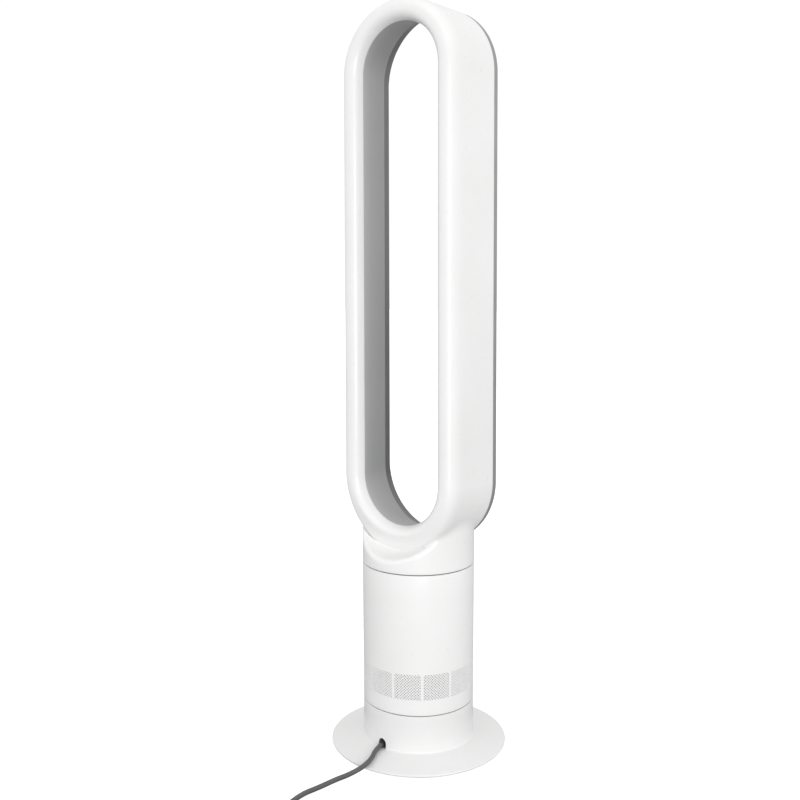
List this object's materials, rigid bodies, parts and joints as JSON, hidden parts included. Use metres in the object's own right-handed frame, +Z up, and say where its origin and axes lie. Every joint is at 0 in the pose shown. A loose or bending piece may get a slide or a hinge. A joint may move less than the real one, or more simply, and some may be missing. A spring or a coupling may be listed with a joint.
{
  "type": "bladeless tower fan",
  "caption": "Tall bladeless fan: racetrack air loop on a round turning body with perforated intake, standing on a wide round foot with a mains cord.",
  "frame": {"origin": "on the floor, on the axis of the round foot", "axes": "+Z up, -Y the front where the air leaves, +Y the rear where the cord leaves, +X completes the right-handed frame"},
  "size_m": [0.241, 0.4743, 1.0064],
  "materials": {
    "white_casing": "satin gloss white ABS",
    "silver_casing": "silver-grey metallic moulded plastic",
    "black_plastic": "matt black",
    "steel": "zinc plated",
    "rubber": "matt",
    "inner_plastic": "moulded grey",
    "cord_sheath": "soft grey sheath",
    "copper": "enamelled wire",
    "dark_window": "smoked clear",
    "circuit_board": "green board",
    "foam": "open foam"
  },
  "bodies": {
    "base": {"foot_shell": "white_casing", "foot_bottom_cover": "black_plastic", "ballast_ring": "steel", "rubber_ring_foot": "rubber", "foot_screws": "steel", "bearing_plate": "inner_plastic", "glide_ring": "inner_plastic", "plate_pillars": "inner_plastic", "plate_screws": "steel", "pivot_tube": "steel", "pivot_retainer": "inner_plastic", "oscillation_motor": "steel", "motor_screws": "steel", "main_board": "circuit_board", "button_switch": "black_plastic", "board_parts": "black_plastic", "board_bracket": "inner_plastic", "cord_grommet": "black_plastic", "cord_clamp": "inner_plastic", "clamp_screws": "steel", "inner_lead": "cord_sheath", "cord_tube": "cord_sheath", "cord_coil": "cord_sheath", "cord_tie": "black_plastic", "cord_tail": "cord_sheath", "plug_body": "cord_sheath", "plug_pins": "steel"},
    "head": {"turntable": "inner_plastic", "ring_gear_sector": "inner_plastic", "body_cover": "white_casing", "body_screws": "steel", "intake_grille": "white_casing", "intake_filter": "foam", "impeller_housing": "inner_plastic", "housing_mounts": "rubber", "duct_gasket": "rubber", "motor_bucket": "inner_plastic", "bucket_cap": "inner_plastic", "diffuser_vanes": "inner_plastic", "motor_stator": "steel", "stator_windings": "copper", "stator_ring": "inner_plastic", "motor_bearings": "steel", "display_window": "dark_window", "display_board": "circuit_board", "loop_outer_shell": "white_casing", "loop_inner_shell": "silver_casing", "slot_spacers": "inner_plastic", "loop_seal": "rubber", "loop_latches": "inner_plastic"},
    "rotor": {"impeller": "inner_plastic", "rotor_shaft": "steel", "impeller_nut": "steel", "motor_rotor": "steel"},
    "button": {"power_button": "white_casing"},
    "pinion": {"oscillation_pinion": "inner_plastic"}
  },
  "joints": [
    {"name": "oscillation", "type": "hinge", "parent": "base", "child": "head", "pos_m": [0, 0, 0.0622], "axis": [0, 0, 1], "range_deg": [-35, 35]},
    {"name": "impeller_spin", "type": "hinge", "parent": "head", "child": "rotor", "pos_m": [0, 0, 0.15], "axis": [0, 0, 1], "continuous": true},
    {"name": "power_button", "type": "slide", "parent": "base", "child": "button", "axis": [0, 1, 0], "range_m": [0, 0.0012], "stiffness_N_per_m": 350, "springref_m": -0.0006},
    {"name": "pinion_turn", "type": "hinge", "parent": "base", "child": "pinion", "pos_m": [-0.032, 0, 0.05], "axis": [0, 0, 1], "range_deg": [-175, 175]}
  ],
  "couplings": [
    {"joint": "pinion_turn", "follows": "oscillation", "ratio": 5}
  ]
}
